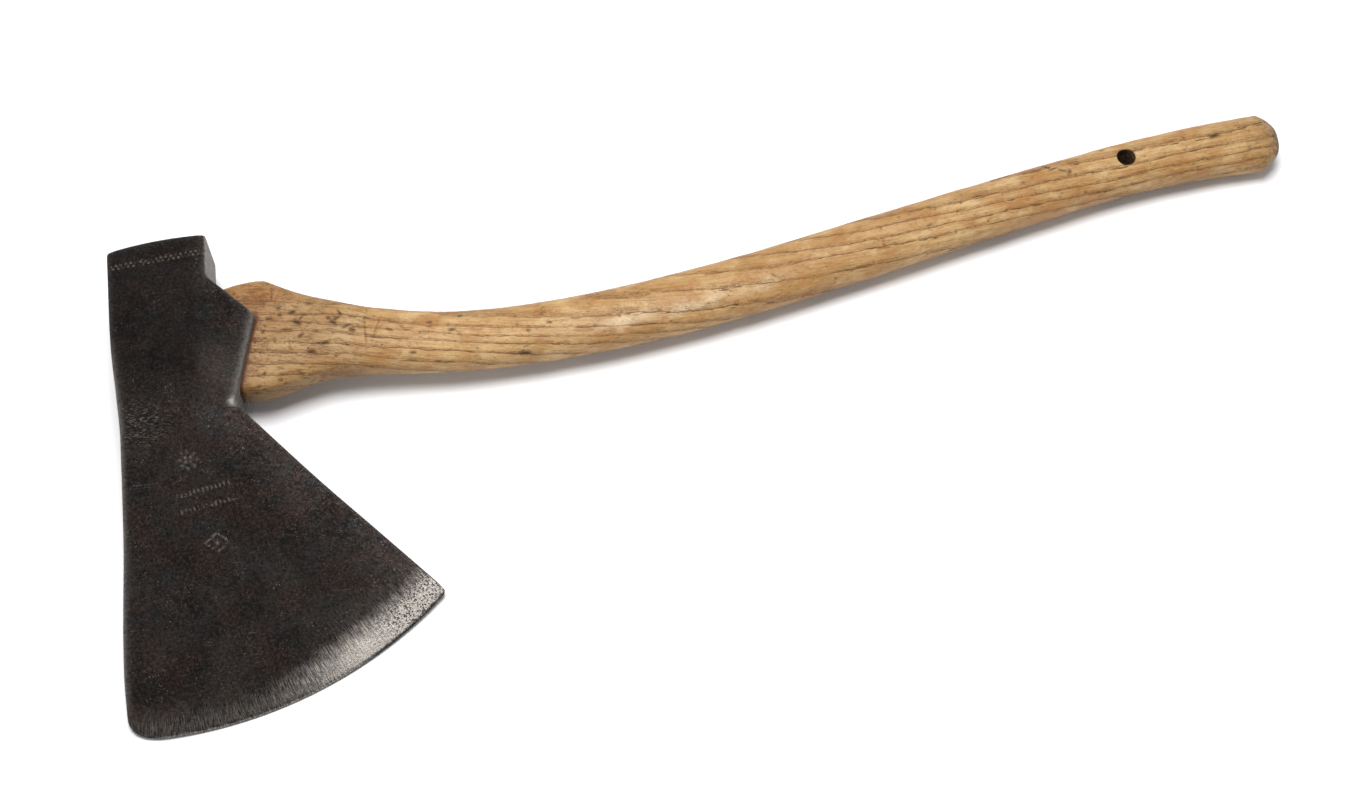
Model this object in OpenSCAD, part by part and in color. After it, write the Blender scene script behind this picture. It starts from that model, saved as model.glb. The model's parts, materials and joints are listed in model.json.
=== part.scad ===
// Broad axe: a forged head with a fan-shaped blade, wedged on a curved ash haft.
// It is drawn flat, with the middle of the eye at zero: X runs along the eye to
// the butt of the haft, Y points to the poll and Z is the thickness.
// lay_down() then tips every piece into the way the axe rests on its side.

/* [Head] */
// Width of the head at the eye, which is the length of the eye
head_w = 57; // [52:0.5:62]
// Thickness of the head over the eye
head_t = 41; // [36:0.5:46]
// Distance from the middle of the eye to the poll, at the near corner
poll_y = 59; // [55:0.5:64]
// How much further out the far corner of the poll is
poll_rise = 5.7; // [0:0.1:8]
// Height of the crown of the poll over its corners
poll_crown = 1.9; // [0.5:0.1:3]
// Depth of the steel facing on the poll
poll_plate_d = 11; // [6:0.5:16]

/* [Eye] */
// Depth of the eye, from its poll end to its blade end
eye_d = 66; // [60:0.5:70]
// Thickness of the eye
eye_t = 26; // [20:0.5:28]
// Reach of the lug along the haft
lug_x = 53; // [46:0.5:60]
// Distance from the middle of the eye to the notch under the lug
notch_y = 43; // [42:0.5:48]

/* [Blade] */
// Radius of the cutting edge, struck from the eye
edge_r = 226; // [215:1:240]
// How far the centre of the cutting edge is to the toe side of the eye
edge_shift = 11; // [5:0.5:16]
// Thickness left along the cutting edge
edge_t = 0.8; // [0.5:0.1:1.5]
// Thickness of the blade where the polished bevel starts
bevel_t = 7; // [5:0.5:10]
// Width of the polished bevel
bevel_w = 32; // [24:1:40]
// Thickness halfway down the blade
waist_t = 15; // [12:0.5:22]
// Depth that the steel bit is let into the iron
bit_tongue = 30; // [15:1:40]

/* [Haft] */
// Distance from the middle of the eye to the butt of the haft
haft_x = 682; // [670:1:690]
// Length of the rounding of the butt
butt_round = 11; // [4:0.5:14]
// Share of the butt's section that the rounding leaves flat
butt_flat = 0.4; // [0.3:0.05:0.8]
// Diameter of the hanging hole
hang_d = 11; // [8:0.5:13]
// Distance from the middle of the eye to the hanging hole
hang_x = 582; // [570:1:600]

/* [Wedges] */
// Length of the wooden wedge
wood_wedge_l = 46; // [35:1:55]
// Thickness of the wooden wedge at its head
wood_wedge_t = 6; // [4:0.5:7]
// Length of the iron wedge
iron_wedge_l = 32; // [22:1:36]
// Width of the iron wedge
iron_wedge_w = 20; // [14:0.5:22]
// Thickness of the iron wedge at its head
iron_wedge_t = 4.5; // [3:0.5:5]

/* [Rest] */
// Tip of the head towards its cutting edge, in degrees
tip = 6.8; // [5:0.1:8]
// Drop of the haft towards its butt, in degrees
droop = 1.87; // [0:0.01:2.5]

/* [Hidden] */
$fn = 96;

section_sides = 32;
ring_step = 13;
blade_sides = 180;
big = 600;

// Thickness of each wedge at its point
wood_point_t = 1.5;
iron_point_t = 1;

// Half-thickness of the bit's tongue, at its root and at its tip
tongue_root = 1.8;
tongue_tip = 0.6;

// How far the hanging hole sits to the poll side of the middle of the grip
hang_offset = 2.2;

// Plain helpers ---------------------------------------------------------------

function lerp(a, b, t) = a + (b - a) * t;

// Slope of column c of a station list at station i
function slope(list, i, c) =
    let (lo = max(i - 1, 0), hi = min(i + 1, len(list) - 1))
    (list[hi][c] - list[lo][c]) / (list[hi][0] - list[lo][0]);

// Which gap between two stations x lies in
function gap(list, x, i = 0) =
    i >= len(list) - 2 || x < list[i + 1][0] ? i : gap(list, x, i + 1);

// Smooth value of column c at x, with the curve through every station
function smooth(list, x, c) =
    let (i = gap(list, x), a = list[i], b = list[i + 1])
    let (w = b[0] - a[0], t = (x - a[0]) / w)
    let (in = slope(list, i, c) * w, out = slope(list, i + 1, c) * w)
    a[c] * (2 * pow(t, 3) - 3 * t * t + 1) + in * (pow(t, 3) - 2 * t * t + t)
    + b[c] * (3 * t * t - 2 * pow(t, 3)) + out * (pow(t, 3) - t * t);

function signed_pow(v, e) = sign(v) * pow(abs(v), e);

// Points of an oval between the two edges y_up and y_lo; square = 2 is an ellipse
function oval(y_up, y_lo, t, square) =
    [for (k = [0 : section_sides - 1])
        let (a = 360 * k / section_sides)
        [(y_up + y_lo) / 2 + (y_up - y_lo) / 2 * signed_pow(cos(a), 2 / square),
         t / 2 * signed_pow(sin(a), 2 / square)]];

// Outline of the head -----------------------------------------------------------

half_w = head_w / 2;
poll_near = [-half_w, poll_y];
poll_far = [half_w, poll_y + poll_rise];
edge_c = [-edge_shift, 0];

// Corners of the lug on the haft side, of the notch under it and of the heel of the blade
lug_top = [half_w - 1, 37.5];
lug_tip = [lug_x, 10.5];
notch = [38.5, -notch_y];
heel = [146, -161.5];

// Radius from the centre of the edge at which the cheek starts to thin
taper_r = norm(notch - edge_c);

// Toe side of the head: slightly waisted under the eye, wider again at the toe
toe_side = [[-212, -30.5], [-190, -31.2], [-150, -29.8], [-105, -27],
    [-60, -25.1], [-35, -26.2], [0, -28.4], [poll_y, -half_w]];

function toe_side_curve() =
    [for (t = [0 : 0.04 : 0.99])
        let (y = lerp(toe_side[0][0], poll_y, t))
        [smooth(toe_side, y, 1), y]];

function poll_curve() =
    [for (t = [0 : 0.1 : 1]) lerp(poll_near, poll_far, t) + [0, poll_crown * 4 * t * (1 - t)]];

// Worn corners of the blade; between them the outline runs past the edge, which trims it
heel_corner = [[heel.x - 2.5, heel.y + 2.7], [heel.x - 0.8, heel.y + 0.2], [heel.x - 1.2, heel.y - 1.5]];
toe_corner = [[-10, -226], [-21, -223.5], [-27.5, -219]];

function head_outline() =
    concat(toe_side_curve(), poll_curve(), [lug_top, lug_tip, notch], heel_corner,
        [[heel.x - 10, -edge_r - 10], [0, -edge_r - 10]], toe_corner);

// Half of the thickness, from the eye out to the cutting edge
function blade_profile() =
    let (bevel_r = edge_r - bevel_w)
    [[0, head_t / 2], [taper_r, head_t / 2], [lerp(taper_r, bevel_r, 0.5), waist_t / 2],
     [bevel_r, bevel_t / 2], [edge_r - bevel_w / 3, (bevel_t + edge_t) / 4], [edge_r, edge_t / 2]];

// Shape of the haft -------------------------------------------------------------

// Tongue and shoulder: [distance, edge on the poll side, edge on the blade side, thickness, squareness]
tongue = [
    [-half_w + 1, eye_d / 2, -eye_d / 2, eye_t, 5],
    [31, eye_d / 2, -eye_d / 2, eye_t, 5],
    [42.5, 35.9, -eye_d / 2, eye_t, 5],
    [50, 37.2, -33.8, eye_t, 5],
    [54, 37.5, -33.8, eye_t, 4.8]];

// Grip: the same columns, with a smooth curve through them
grip = [
    [59, 37.3, -33.2, 26.5, 4.4],
    [75, 29, -29, 26.8, 3.8],
    [95, 21.4, -25.2, 27, 3.2],
    [125, 12.8, -26.3, 27.5, 2.7],
    [165, 6.4, -29.5, 28, 2.4],
    [210, 6, -29.6, 28, 2.3],
    [270, 11.6, -25, 28, 2.3],
    [340, 23.2, -14, 28, 2.3],
    [420, 40, 3, 28, 2.3],
    [500, 56.4, 21.5, 28, 2.3],
    [580, 71.5, 38.6, 27.5, 2.3],
    [640, 79.7, 45.2, 27.5, 2.3],
    [haft_x, 83, 46, 28, 2.3]];

function ring3(x, flat) = [for (p = flat) [x, p.x, p.y]];

function grip_ring(x, size) =
    let (up = smooth(grip, x, 1), lo = smooth(grip, x, 2), mid = (up + lo) / 2)
    ring3(x, oval(mid + (up - mid) * size, mid + (lo - mid) * size,
        smooth(grip, x, 3) * size, smooth(grip, x, 4)));

grip_end = haft_x - butt_round;
grip_count = round((grip_end - grip[0][0]) / ring_step);

haft_rings = concat(
    [for (s = tongue) ring3(s[0], oval(s[1], s[2], s[3], s[4]))],
    [for (i = [0 : grip_count]) grip_ring(lerp(grip[0][0], grip_end, i / grip_count), 1)],
    [for (a = [22.5 : 22.5 : 90]) grip_ring(grip_end + butt_round * sin(a), lerp(butt_flat, 1, cos(a)))]);

hang_y = (smooth(grip, hang_x, 1) + smooth(grip, hang_x, 2)) / 2 + hang_offset;

// Rest pose ---------------------------------------------------------------------

// A point after the droop about Y and the tip about X
function tipped(p) =
    let (x = p.x * cos(droop) + p.z * sin(droop), z = p.z * cos(droop) - p.x * sin(droop))
    [x, p.y * cos(tip) - z * sin(tip), p.y * sin(tip) + z * cos(tip)];

function around_edge(r, h) =
    [for (a = [-95 : 5 : -45]) [edge_c.x + r * cos(a), edge_c.y + r * sin(a), h]];

haft_points = [for (ring = haft_rings) for (p = ring) p];

head_points = concat(
    [for (z = [-head_t / 2, head_t / 2]) for (p = poll_curve()) [p.x, p.y, z]],
    [for (z = [-head_t / 2, head_t / 2]) for (p = toe_side_curve()) if (p.y > -taper_r) [p.x, p.y, z]],
    [for (p = blade_profile()) if (p.x > 0) each around_edge(p.x, -p.y)]);

extreme = [for (p = concat(haft_points, head_points)) tipped(p)];
mid_x = (min([for (p = extreme) p.x]) + max([for (p = extreme) p.x])) / 2;
mid_y = (min([for (p = extreme) p.y]) + max([for (p = extreme) p.y])) / 2;
low_z = min([for (p = extreme) p.z]);

module lay_down() {
    translate([-mid_x, -mid_y, -low_z])
        rotate([tip, 0, 0])
            rotate([0, droop, 0])
                children();
}

// Shared solids -----------------------------------------------------------------

module eye_prism(from, to) {
    translate([from, 0, 0])
        rotate([90, 0, 90])
            linear_extrude(to - from)
                polygon(oval(eye_d / 2, -eye_d / 2, eye_t, tongue[0][4]));
}

// Everything nearer the eye than radius r, with faces that follow the blade's taper
module blade_taper(r) {
    half = [for (p = blade_profile()) if (p.x < r) p];
    last = [r, lookup(r, blade_profile())];
    upper = concat(half, [last]);
    translate([edge_c.x, edge_c.y, 0])
        rotate_extrude($fn = blade_sides)
            polygon(concat(upper, [for (i = [len(upper) - 1 : -1 : 0]) [upper[i].x, -upper[i].y]]));
}

module head_blank() {
    intersection() {
        linear_extrude(head_t, center = true)
            polygon(head_outline());
        union() {
            blade_taper(edge_r);
            translate([-big / 2, -sqrt(pow(taper_r, 2) - pow(notch.x + edge_shift, 2)), -head_t / 2])
                cube([big, big, head_t]);
        }
    }
}

// Everything on the poll side of the weld line
module poll_side() {
    drop = [0, -poll_plate_d];
    beyond = [head_w, poll_rise] / 4;
    past_poll = [0, 3 * poll_plate_d];
    linear_extrude(2 * head_t, center = true)
        polygon([poll_near + drop - beyond, poll_far + drop + beyond,
            poll_far + past_poll, poll_near + past_poll]);
}

// Everything outside radius r, with a tongue of steel that reaches further in
module bit_zone() {
    seam_r = edge_r - bevel_w;
    tip_r = seam_r - bit_tongue;
    outer_r = edge_r + bevel_w;
    translate([edge_c.x, edge_c.y, 0])
        rotate_extrude($fn = blade_sides)
            polygon([[seam_r, -head_t], [outer_r, -head_t], [outer_r, head_t], [seam_r, head_t],
                [seam_r, tongue_root], [tip_r, tongue_tip], [tip_r, -tongue_tip], [seam_r, -tongue_root]]);
}

// Wedge lying in the XZ plane, driven in from the toe side of the head
module driven_wedge(length, head, point, width) {
    translate([tongue[0][0], width / 2, 0])
        rotate([90, 0, 0])
            linear_extrude(width)
                polygon([[0, -head / 2], [length, -point / 2], [length, point / 2], [0, head / 2]]);
}

module wood_wedge_space() {
    driven_wedge(wood_wedge_l, wood_wedge_t, wood_point_t, eye_d + 2);
}

module iron_wedge_space() {
    rotate([90, 0, 0])
        driven_wedge(iron_wedge_l, iron_wedge_t, iron_point_t, iron_wedge_w);
}

// Sub-parts ---------------------------------------------------------------------

module head_body() {
    color([0.20, 0.17, 0.16])
        lay_down()
            difference() {
                head_blank();
                eye_prism(-half_w - 10, lug_x + 10);
                poll_side();
                bit_zone();
            }
}

module steel_bit() {
    color([0.50, 0.49, 0.47])
        lay_down()
            intersection() {
                head_blank();
                bit_zone();
            }
}

module poll_plate() {
    color([0.24, 0.21, 0.20])
        lay_down()
            intersection() {
                head_blank();
                poll_side();
            }
}

module haft_blank() {
    rings = len(haft_rings);
    sides = section_sides;
    polyhedron(
        points = haft_points,
        faces = concat(
            [[for (k = [0 : sides - 1]) k]],
            [for (i = [0 : rings - 2]) for (k = [0 : sides - 1])
                let (a = i * sides + k, b = i * sides + (k + 1) % sides)
                [a, a + sides, b + sides, b]],
            [[for (k = [sides - 1 : -1 : 0]) (rings - 1) * sides + k]]));
}

module haft() {
    color([0.78, 0.58, 0.36])
        lay_down()
            difference() {
                haft_blank();
                wood_wedge_space();
                iron_wedge_space();
                translate([hang_x, hang_y, 0])
                    cylinder(h = 3 * eye_t, d = hang_d, center = true);
            }
}

module wooden_wedge() {
    color([0.62, 0.44, 0.26])
        lay_down()
            difference() {
                intersection() {
                    wood_wedge_space();
                    eye_prism(-half_w, lug_x);
                }
                iron_wedge_space();
            }
}

module iron_wedge() {
    color([0.30, 0.26, 0.24])
        lay_down()
            iron_wedge_space();
}

head_body();
steel_bit();
poll_plate();
haft();
wooden_wedge();
iron_wedge();
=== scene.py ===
import json
import math

import bpy
import numpy as np
from mathutils import Matrix, Vector
from mathutils.geometry import delaunay_2d_cdt


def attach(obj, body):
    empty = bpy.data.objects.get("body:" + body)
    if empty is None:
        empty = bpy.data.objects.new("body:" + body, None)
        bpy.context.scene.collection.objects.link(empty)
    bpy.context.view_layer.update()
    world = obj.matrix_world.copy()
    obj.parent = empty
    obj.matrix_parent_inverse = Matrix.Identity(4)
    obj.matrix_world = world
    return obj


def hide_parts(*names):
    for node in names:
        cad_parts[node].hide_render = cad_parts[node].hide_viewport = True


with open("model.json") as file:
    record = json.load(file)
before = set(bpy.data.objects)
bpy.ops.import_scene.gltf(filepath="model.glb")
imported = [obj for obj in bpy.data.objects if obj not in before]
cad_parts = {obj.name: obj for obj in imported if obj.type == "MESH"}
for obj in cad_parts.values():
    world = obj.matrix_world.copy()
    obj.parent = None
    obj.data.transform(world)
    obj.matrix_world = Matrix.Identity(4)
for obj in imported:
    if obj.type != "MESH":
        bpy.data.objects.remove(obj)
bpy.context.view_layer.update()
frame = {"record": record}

# The axe is drawn flat, in millimetres, with the middle of the eye at zero: X runs along the
# eye to the butt, Y points to the poll and Z is the thickness. to_rest() lays it down.

# Head
HEAD_W = 57.0
HEAD_T = 41.0
POLL_Y = 59.0
POLL_RISE = 5.7
POLL_CROWN = 1.9
POLL_PLATE_D = 11.0
HALF_W = HEAD_W / 2
POLL_NEAR = (-HALF_W, POLL_Y)
POLL_FAR = (HALF_W, POLL_Y + POLL_RISE)
LUG_TOP = (27.5, 37.5)
LUG_TIP = (53.0, 10.5)
NOTCH = (38.5, -43.0)
HEEL = (146.0, -161.5)
EDGE_X = -11.0
EDGE_R = 226.0
EDGE_T = 0.8
BEVEL_W = 32.0
BEVEL_T = 7.0
WAIST_T = 15.0
TAPER_R = math.hypot(NOTCH[0] - EDGE_X, NOTCH[1])
BEVEL_R = EDGE_R - BEVEL_W

# Depth of the stamps, and half of the most that broad and small hammer blows took off
STAMP_DEPTH = 0.35
BROAD_BLOWS = 0.10
SMALL_BLOWS = 0.035

# Toe side of the head, as [y, x]: waisted under the eye and wider again at the toe
TOE_SIDE = [[-212, -30.5], [-190, -31.2], [-150, -29.8], [-105, -27],
            [-60, -25.1], [-35, -26.2], [0, -28.4], [POLL_Y, -HALF_W]]

# Eye and haft
EYE_D = 66.0
EYE_T = 26.0
EYE_GAP = 0.4
BUTT_ROUND = 11.0
BUTT_FLAT = 0.4
HAFT_X = 682.0
HANG_D = 11.0
HANG_X = 582.0
HANG_OFFSET = 2.2

# Points round the haft, and half of the most that shaving and use took off it
HAFT_SIDES = 176
BROAD_SHAVING = 0.14
SMALL_SHAVING = 0.05

# Tongue and grip: distance, edge on the poll side, edge on the blade side, thickness, squareness
TONGUE = [[-27.5, 33, -33, 26, 5], [31, 33, -33, 26, 5], [42.5, 35.9, -33, 26, 5],
          [50, 37.2, -33.8, 26, 5], [54, 37.5, -33.8, 26, 4.8], [59, 37.3, -33.2, 26.5, 4.4]]
GRIP = [[59, 37.3, -33.2, 26.5, 4.4], [75, 29, -29, 26.8, 3.8], [95, 21.4, -25.2, 27, 3.2],
        [125, 12.8, -26.3, 27.5, 2.7], [165, 6.4, -29.5, 28, 2.4], [210, 6, -29.6, 28, 2.3],
        [270, 11.6, -25, 28, 2.3], [340, 23.2, -14, 28, 2.3], [420, 40, 3, 28, 2.3],
        [500, 56.4, 21.5, 28, 2.3], [580, 71.5, 38.6, 27.5, 2.3], [640, 79.7, 45.2, 27.5, 2.3],
        [HAFT_X, 83, 46, 28, 2.3]]

# Wedges, and the play of their kerfs
WEDGE_GAP = 0.1
WOOD_WEDGE_L = 46.0
WOOD_WEDGE_T = 6.0
WOOD_POINT_T = 1.5
IRON_WEDGE_L = 32.0
IRON_WEDGE_W = 20.0
IRON_WEDGE_T = 4.5
IRON_POINT_T = 1.0

# Dark lines of the haft's wood, as distances across the grain
RINGS = (-84, -74, -64, -54, -46, -39, -32, -25.2, -20, -14.8, -7.7, 5.4, 16.6, 23.7, 30, 36.6,
         46, 56)

# How far the rings lean from the haft's thickness
GRAIN_TURN = 0.55

# Dents and cuts on the haft's upper side: middle, half length, half width and lean in degrees
DENTS = [
    (60.5, 9.5, 2.2, 0.8, 5), (66.5, 15.5, 1.6, 0.8, 0), (67, 11, 1.2, 1.0, 0), (85, 17, 2.4, 0.7, 8),
    (74, 12, 2.2, 1.1, 20), (76.5, 5, 2.8, 1.5, -30), (79, 8, 2.4, 0.5, 50), (71, 1.5, 3.6, 0.5, -3),
    (56.5, 1.5, 1.0, 0.8, 0), (78.5, -3, 2.0, 0.7, 30), (83.5, -14, 2.6, 1.5, 10),
    (56, -24.5, 1.4, 0.8, 60), (64.5, -28.5, 1.4, 0.8, 0), (91.5, -9.5, 2.4, 1.0, 0),
    (94.5, 6, 1.2, 1.0, 0), (99.5, 5.5, 3.0, 0.8, 35), (97, 3, 2.4, 0.9, -40), (104.5, -0.5, 3.2, 0.7, 20),
    (107.5, -3, 2.0, 1.2, -20), (101, 9, 2.6, 0.6, -60), (141, -21, 2.2, 0.7, -5),
    (164.5, -10, 2.0, 1.0, 10), (169.5, -1, 1.6, 0.9, 0), (152, -3.5, 1.4, 0.8, 0),
    (205, -27, 3.6, 0.9, -4), (208, -15.5, 1.4, 0.8, 30), (221, -12, 1.2, 0.9, 0),
    (532, 57.5, 3.0, 0.6, -50), (536, 55, 3.4, 0.6, 20), (541, 53, 2.6, 0.7, -20),
    (545, 51, 2.0, 1.0, 70), (640, 66, 4.0, 1.4, 12)]

# Knife cuts on the same side
CUTS = [(115, -4.5, 9.5, 0.4, 89), (121.5, -3.5, 8.2, 0.4, 68), (71.5, -9, 4.6, 0.4, -84),
        (63.3, 25, 4.9, 0.5, 88)]

# Depth of a full dent, share of it that a cut has, and how many small dents there are besides
DENT_DEPTH = 0.45
CUT_WEIGHT = 0.55
SMALL_DENTS = 150

# Camera: where it aims, in the part's frame, and how it stands to that point
AIM = (-0.0329, 0.0027, 0.0200)
CAMERA_AZIMUTH = -8.0
CAMERA_ELEVATION = 61.0
CAMERA_DISTANCE = 1.2083
CAMERA_LENS = 55.22

# Brightness of the surround, at the horizon and overhead, and the soft box
WALL_LIGHT = 1.0
CEILING_LIGHT = 0.16
KEY_POWER = 42.0
KEY_SIZE = 0.85
KEY_PLACE = (-0.10, 0.20, 1.8)

# How much brighter than white this light makes a white surface
LIGHT_GAIN = 1.3


# Plain maths --------


def smooth(stations, at, column):
    """Cubic curve through one column of a station list, as in the CAD model."""
    s = np.array([row[0] for row in stations], float)
    v = np.array([row[column] for row in stations], float)
    slope = np.gradient(v, s)
    slope[1:-1] = (v[2:] - v[:-2]) / (s[2:] - s[:-2])
    i = np.clip(np.searchsorted(s, at, side="right") - 1, 0, len(s) - 2)
    width = s[i + 1] - s[i]
    t = (at - s[i]) / width
    rise = 3 * t ** 2 - 2 * t ** 3
    start = slope[i] * width * (t ** 3 - 2 * t ** 2 + t)
    end = slope[i + 1] * width * (t ** 3 - t ** 2)
    return v[i] * (1 - rise) + v[i + 1] * rise + start + end


def straight(stations, at, column):
    """Straight lines through one column of a station list."""
    return np.interp(at, [row[0] for row in stations], [row[column] for row in stations])


def fade(value, low, high):
    """0 below low and 1 above high, smoothly between them. It also works downwards."""
    t = np.clip((value - low) / (high - low), 0, 1)
    return t * t * (3 - 2 * t)


def ripples(points, wavelength, seed, count=18):
    """Smooth seeded noise, about -1 to 1, made of waves of about one length."""
    random = np.random.default_rng(seed)
    heading = random.normal(size=(count, points.shape[1]))
    heading /= np.linalg.norm(heading, axis=1)[:, None]
    pace = 2 * math.pi / wavelength * random.uniform(0.6, 1.5, count)
    phase = random.uniform(0, 2 * math.pi, count)
    waves = np.cos(points @ (heading * pace[:, None]).T + phase)
    return waves.sum(axis=1) / math.sqrt(count)


# Outline of the head, seen in plan --------


def fillet(before, corner, after, radius, steps=6):
    """Points of the arc that rounds a corner."""
    a = Vector(before) - Vector(corner)
    b = Vector(after) - Vector(corner)
    half = a.angle(b) / 2
    reach = radius / math.tan(half)
    start = Vector(corner) + a.normalized() * reach
    end = Vector(corner) + b.normalized() * reach
    centre = Vector(corner) + (a.normalized() + b.normalized()).normalized() * radius / math.sin(half)
    points = []
    for k in range(steps + 1):
        arm = (start - centre).lerp(end - centre, k / steps).normalized() * radius
        points.append(tuple(centre + arm))
    return points


def toe_side():
    """Up the toe side, from the toe to the poll."""
    y = np.arange(TOE_SIDE[0][0], POLL_Y - 3.5, 2.0)
    return list(zip(smooth(TOE_SIDE, y, 1), y))


def poll_face():
    """Along the crowned face of the poll."""
    points = []
    for t in np.linspace(0.08, 0.92, 24):
        x = POLL_NEAR[0] + t * HEAD_W
        points.append((x, POLL_Y + t * POLL_RISE + POLL_CROWN * 4 * t * (1 - t)))
    return points


def edge_arc():
    """Along the cutting edge, from the heel to the toe."""
    angles = np.radians(np.arange(-46.6, -90.1, -0.5))
    return [(EDGE_X + EDGE_R * math.cos(a), EDGE_R * math.sin(a)) for a in angles]


def toe_corner():
    """Worn corner of the toe, from the edge to the toe side."""
    a, b, c = Vector((-11, -EDGE_R)), Vector((-28.5, -225.2)), Vector((-30.4, -214))
    curve = []
    for t in np.linspace(0.08, 0.95, 10):
        curve.append(tuple(a.lerp(b, t).lerp(b.lerp(c, t), t)))
    return curve


def head_outline():
    """Points round the head and, for each, the radius of the rim there."""
    sections = [
        (toe_side(), 2.0),
        (fillet((POLL_NEAR[0], 0), POLL_NEAR, POLL_FAR, 2.6), 2.2),
        (poll_face(), 2.2),
        (fillet(POLL_NEAR, POLL_FAR, LUG_TOP, 1.8), 2.4),
        ([(HALF_W - 0.3, 53), (HALF_W - 0.8, 41)], 2.2),
        (fillet(POLL_FAR, LUG_TOP, LUG_TIP, 1.5), 1.3),
        ([(33, 31.7), (48, 15.8)], 0.9),
        (fillet(LUG_TOP, LUG_TIP, NOTCH, 1.2), 1.6),
        ([(52.2, 7.5), (39.6, -38.8)], 2.6),
        (fillet(LUG_TIP, NOTCH, HEEL, 1.0), 2.4),
        ([(43, -47.9), (142, -157.1)], 0.9),
        ([(143.9, -159.6), (145.2, -161.6), (145.0, -163.0)], 0.6),
        (edge_arc(), 0.25),
        (toe_corner(), 0.6)]
    points = [p for section, rim in sections for p in section]
    rims = [rim for section, rim in sections for p in section]
    return np.array(points), np.array(rims)


def evenly(points, rims, step):
    """The closed outline again, with a point about every step."""
    loop = np.vstack([points, points[:1]])
    along = np.concatenate([[0], np.cumsum(np.linalg.norm(np.diff(loop, axis=0), axis=1))])
    count = int(along[-1] / step)
    at = np.linspace(0, along[-1], count, endpoint=False)
    xy = [np.interp(at, along, loop[:, k]) for k in (0, 1)]
    return np.column_stack(xy), np.interp(at, along, np.append(rims, rims[0]))


OUTLINE, RIMS = evenly(*head_outline(), step=0.9)


def nearest_corner(points, loop):
    """Index of the corner of a loop that is nearest to each point."""
    index = np.empty(len(points), int)
    size2 = (loop ** 2).sum(axis=1)
    for start in range(0, len(points), 8000):
        part = points[start:start + 8000]
        index[start:start + 8000] = (size2 - 2 * part @ loop.T).argmin(axis=1)
    return index


def to_outline(points):
    """Distance of each point from the outline, and the radius of the rim at the nearest place."""
    nearest = nearest_corner(points, OUTLINE)
    distance = np.full(len(points), np.inf)
    rim = np.empty(len(points))
    for first in (nearest - 1, nearest):
        second = (first + 1) % len(OUTLINE)
        along = OUTLINE[second] - OUTLINE[first]
        away = points - OUTLINE[first]
        share = np.clip((away * along).sum(axis=1) / (along ** 2).sum(axis=1), 0, 1)
        gap = np.linalg.norm(away - share[:, None] * along, axis=1)
        rim = np.where(gap < distance, RIMS[first] * (1 - share) + RIMS[second] * share, rim)
        distance = np.minimum(gap, distance)
    return distance, rim


def inside(points, loop):
    """Which points lie inside a closed loop."""
    result = np.zeros(len(points), bool)
    a, b = loop, np.roll(loop, -1, axis=0)
    rise = np.where(b[:, 1] == a[:, 1], 1e-9, b[:, 1] - a[:, 1])
    for start in range(0, len(points), 4000):
        x = points[start:start + 4000, 0, None]
        y = points[start:start + 4000, 1, None]
        spans = (a[:, 1] > y) != (b[:, 1] > y)
        crossing = a[:, 0] + (y - a[:, 1]) * (b[:, 0] - a[:, 0]) / rise
        result[start:start + 4000] = (spans & (x < crossing)).sum(axis=1) % 2 == 1
    return result


# Thickness of the head --------

# Half of the thickness, by the distance from the centre of the edge
BLADE = [[TAPER_R, HEAD_T / 2], [TAPER_R + 8, HEAD_T / 2 - 0.9],
         [(TAPER_R + BEVEL_R) / 2, WAIST_T / 2], [BEVEL_R - 24, BEVEL_T / 2 + 1.6],
         [BEVEL_R, BEVEL_T / 2], [EDGE_R - BEVEL_W / 3, (BEVEL_T + EDGE_T) / 4],
         [EDGE_R, EDGE_T / 2]]


def edge_radius(points):
    return np.hypot(points[:, 0] - EDGE_X, points[:, 1])


def edge_angle(points):
    """Direction from the centre of the edge, in degrees: -46 at the heel and -94 at the toe."""
    return np.degrees(np.arctan2(points[:, 1], points[:, 0] - EDGE_X))


def plain_half(points):
    """Half of the thickness, before the rim is rounded."""
    radius = np.clip(edge_radius(points), TAPER_R, EDGE_R)
    blade = smooth(BLADE, radius, 1)
    return np.where(points[:, 1] > NOTCH[1], HEAD_T / 2, blade)


def rounded_half(points):
    """Half of the thickness, with the rim rounded."""
    distance, rim = to_outline(points)
    half = plain_half(points)
    radius = np.minimum(rim, 0.6 * half)
    inset = np.clip(1 - distance / radius, 0, 1)
    return half - radius * (1 - np.sqrt(np.clip(1 - inset ** 2, 0, 1)))


def weld_y(x):
    """Where the weld line of the poll facing runs."""
    return POLL_Y - POLL_PLATE_D + POLL_RISE / HEAD_W * (x + HALF_W)


def weld_marks():
    """Small punch marks along the weld, on both sides of it by turns."""
    marks = []
    for k in range(19):
        x = -26 + 2.85 * k
        marks.append((x, weld_y(x) + 0.9, 0.65))
        marks.append((x + 1.4, weld_y(x) - 0.9, 0.65))
    return marks


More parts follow.
